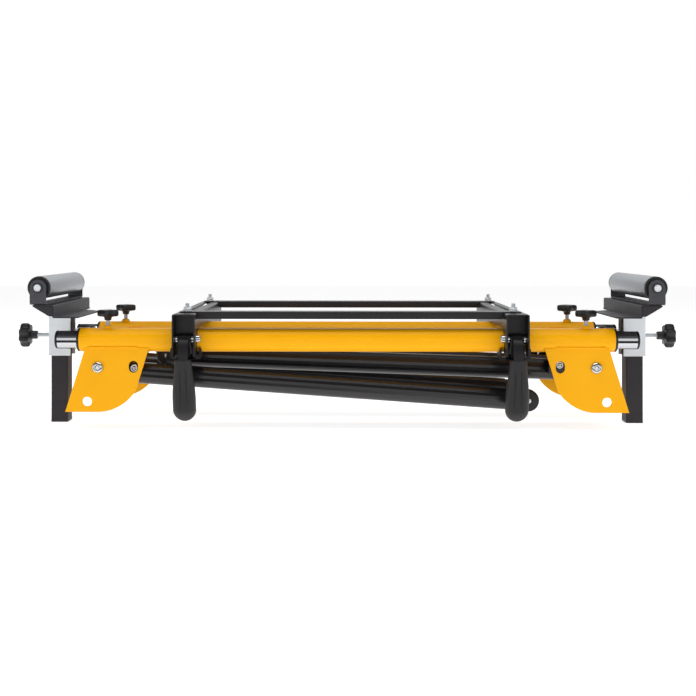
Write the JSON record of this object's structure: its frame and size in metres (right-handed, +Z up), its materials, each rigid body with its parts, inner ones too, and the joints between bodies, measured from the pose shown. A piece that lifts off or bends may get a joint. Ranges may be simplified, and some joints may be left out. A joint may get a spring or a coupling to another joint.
{
  "type": "saw stand",
  "caption": "Folded mitre-saw stand: round beam tubes, sliding end tubes with square posts and rollers, hinged tube legs, and slotted saddle rails clamped on by levers.",
  "frame": {"origin": "on the floor, at the centre of the stand's bounding box seen from above", "axes": "+X along the beam to the viewer's right, +Y towards the rear, +Z up"},
  "size_m": [1.206, 0.438, 0.271],
  "materials": {
    "yellow_enamel": "gloss powder coat",
    "black_enamel": "semi-gloss powder coat",
    "chrome": "polished chrome plate",
    "zinc_plate": "bright zinc plate",
    "grey_roller_steel": "dull grey plate",
    "black_plastic": "moulded, fine grain",
    "black_rubber": "matt"
  },
  "bodies": {
    "beam": {"front_main_tube": "yellow_enamel", "rear_main_tube": "yellow_enamel", "left_cross_tie": "yellow_enamel", "right_cross_tie": "yellow_enamel", "left_front_end_bushing": "black_plastic", "left_rear_end_bushing": "black_plastic", "right_front_end_bushing": "black_plastic", "right_rear_end_bushing": "black_plastic", "left_front_fin": "yellow_enamel", "left_rear_fin": "yellow_enamel", "right_front_fin": "yellow_enamel", "right_rear_fin": "yellow_enamel", "left_front_leg_pivot_bolt": "chrome", "left_rear_leg_pivot_bolt": "chrome", "right_front_leg_pivot_bolt": "chrome", "right_rear_leg_pivot_bolt": "chrome"},
    "left_extension": {"left_front_extension_tube": "chrome", "left_rear_extension_tube": "chrome", "left_post_holder": "zinc_plate"},
    "right_extension": {"right_front_extension_tube": "chrome", "right_rear_extension_tube": "chrome", "right_post_holder": "zinc_plate"},
    "left_post_lift": {"left_post": "black_enamel", "left_tray": "black_enamel", "left_roller_yoke": "black_enamel"},
    "right_post_lift": {"right_post": "black_enamel", "right_tray": "black_enamel", "right_roller_yoke": "black_enamel"},
    "left_roller_drum": {"left_roller": "grey_roller_steel"},
    "right_roller_drum": {"right_roller": "grey_roller_steel"},
    "left_post_clamp": {"left_post_knob": "black_plastic"},
    "right_post_clamp": {"right_post_knob": "black_plastic"},
    "left_front_tube_clamp": {"left_front_clamp_knob": "black_plastic"},
    "left_rear_tube_clamp": {"left_rear_clamp_knob": "black_plastic"},
    "right_front_tube_clamp": {"right_front_clamp_knob": "black_plastic"},
    "right_rear_tube_clamp": {"right_rear_clamp_knob": "black_plastic"},
    "left_front_leg_arm": {"left_front_leg": "black_enamel", "left_front_foot": "black_rubber"},
    "left_rear_leg_arm": {"left_rear_leg": "black_enamel", "left_rear_foot": "black_rubber"},
    "right_front_leg_arm": {"right_front_leg": "black_enamel", "right_front_foot": "black_rubber"},
    "right_rear_leg_arm": {"right_rear_leg": "black_enamel", "right_rear_foot": "black_rubber"},
    "left_front_button": {"left_front_snap_button": "chrome"},
    "left_rear_button": {"left_rear_snap_button": "chrome"},
    "right_front_button": {"right_front_snap_button": "chrome"},
    "right_rear_button": {"right_rear_snap_button": "chrome"},
    "saw_mount": {"left_saddle_bracket": "black_enamel", "right_saddle_bracket": "black_enamel", "front_cross_bar": "black_enamel", "rear_cross_bar": "black_enamel"},
    "left_lever": {"left_clamp_lever": "black_enamel", "left_lever_grip": "black_plastic"},
    "right_lever": {"right_clamp_lever": "black_enamel", "right_lever_grip": "black_plastic"},
    "left_clamp_jaw": {"left_jaw": "black_enamel"},
    "right_clamp_jaw": {"right_jaw": "black_enamel"}
  },
  "joints": [
    {"name": "left_extension_slide", "type": "slide", "parent": "beam", "child": "left_extension", "axis": [-1, 0, 0], "range_m": [0, 0.34]},
    {"name": "right_extension_slide", "type": "slide", "parent": "beam", "child": "right_extension", "axis": [1, 0, 0], "range_m": [0, 0.34]},
    {"name": "left_post_slide", "type": "slide", "parent": "left_extension", "child": "left_post_lift", "axis": [0, 0, 1], "range_m": [0, 0.12]},
    {"name": "right_post_slide", "type": "slide", "parent": "right_extension", "child": "right_post_lift", "axis": [0, 0, 1], "range_m": [0, 0.12]},
    {"name": "left_roller_spin", "type": "hinge", "parent": "left_post_lift", "child": "left_roller_drum", "pos_m": [-0.534, -0.066, 0.251], "axis": [0, 1, 0], "continuous": true},
    {"name": "right_roller_spin", "type": "hinge", "parent": "right_post_lift", "child": "right_roller_drum", "pos_m": [0.534, -0.066, 0.251], "axis": [0, 1, 0], "continuous": true},
    {"name": "left_post_knob_turn", "type": "hinge", "parent": "left_extension", "child": "left_post_clamp", "pos_m": [-0.5423, -0.066, 0.1585], "axis": [-1, 0, 0], "range_deg": [0, 540]},
    {"name": "right_post_knob_turn", "type": "hinge", "parent": "right_extension", "child": "right_post_clamp", "pos_m": [0.5423, -0.066, 0.1585], "axis": [1, 0, 0], "range_deg": [0, 540]},
    {"name": "left_front_knob_turn", "type": "hinge", "parent": "beam", "child": "left_front_tube_clamp", "pos_m": [-0.4235, -0.1475, 0.19], "axis": [0, 0, 1], "range_deg": [0, 540]},
    {"name": "left_rear_knob_turn", "type": "hinge", "parent": "beam", "child": "left_rear_tube_clamp", "pos_m": [-0.4235, 0.0155, 0.19], "axis": [0, 0, 1], "range_deg": [0, 540]},
    {"name": "right_front_knob_turn", "type": "hinge", "parent": "beam", "child": "right_front_tube_clamp", "pos_m": [0.4235, -0.1475, 0.19], "axis": [0, 0, 1], "range_deg": [0, 540]},
    {"name": "right_rear_knob_turn", "type": "hinge", "parent": "beam", "child": "right_rear_tube_clamp", "pos_m": [0.4235, 0.0155, 0.19], "axis": [0, 0, 1], "range_deg": [0, 540]},
    {"name": "left_front_leg_hinge", "type": "hinge", "parent": "beam", "child": "left_front_leg_arm", "pos_m": [-0.438, -0.066, 0.1095], "axis": [0, 1, 0], "range_deg": [0, 105.33]},
    {"name": "left_rear_leg_hinge", "type": "hinge", "parent": "beam", "child": "left_rear_leg_arm", "pos_m": [-0.438, -0.066, 0.1095], "axis": [0, 1, 0], "range_deg": [0, 105.33]},
    {"name": "right_front_leg_hinge", "type": "hinge", "parent": "beam", "child": "right_front_leg_arm", "pos_m": [0.438, -0.066, 0.1095], "axis": [0, -1, 0], "range_deg": [0, 111.3]},
    {"name": "right_rear_leg_hinge", "type": "hinge", "parent": "beam", "child": "right_rear_leg_arm", "pos_m": [0.438, -0.066, 0.1095], "axis": [0, -1, 0], "range_deg": [0, 111.3]},
    {"name": "left_front_button_slide", "type": "slide", "parent": "left_front_leg_arm", "child": "left_front_button", "axis": [0, -1, 0], "range_m": [0, 0.0045], "stiffness_N_per_m": 300, "springref_m": 0.008},
    {"name": "left_rear_button_slide", "type": "slide", "parent": "left_rear_leg_arm", "child": "left_rear_button", "axis": [0, 1, 0], "range_m": [0, 0.0045], "stiffness_N_per_m": 300, "springref_m": 0.008},
    {"name": "right_front_button_slide", "type": "slide", "parent": "right_front_leg_arm", "child": "right_front_button", "axis": [0, -1, 0], "range_m": [0, 0.0045], "stiffness_N_per_m": 300, "springref_m": 0.008},
    {"name": "right_rear_button_slide", "type": "slide", "parent": "right_rear_leg_arm", "child": "right_rear_button", "axis": [0, 1, 0], "range_m": [0, 0.0045], "stiffness_N_per_m": 300, "springref_m": 0.008},
    {"name": "saw_mount_slide", "type": "slide", "parent": "beam", "child": "saw_mount", "axis": [1, 0, 0], "range_m": [-0.035, 0.022]},
    {"name": "left_lever_hinge", "type": "hinge", "parent": "saw_mount", "child": "left_lever", "pos_m": [-0.2817, -0.1835, 0.162], "axis": [-1, 0, 0], "range_deg": [0, 95]},
    {"name": "right_lever_hinge", "type": "hinge", "parent": "saw_mount", "child": "right_lever", "pos_m": [0.2954, -0.1835, 0.162], "axis": [-1, 0, 0], "range_deg": [0, 95]},
    {"name": "left_jaw_hinge", "type": "hinge", "parent": "saw_mount", "child": "left_clamp_jaw", "pos_m": [-0.2817, -0.1835, 0.162], "axis": [-1, 0, 0], "range_deg": [0, 30]},
    {"name": "right_jaw_hinge", "type": "hinge", "parent": "saw_mount", "child": "right_clamp_jaw", "pos_m": [0.2954, -0.1835, 0.162], "axis": [-1, 0, 0], "range_deg": [0, 30]}
  ],
  "couplings": [
    {"joint": "left_jaw_hinge", "follows": "left_lever_hinge", "ratio": 0.315},
    {"joint": "right_jaw_hinge", "follows": "right_lever_hinge", "ratio": 0.315}
  ]
}
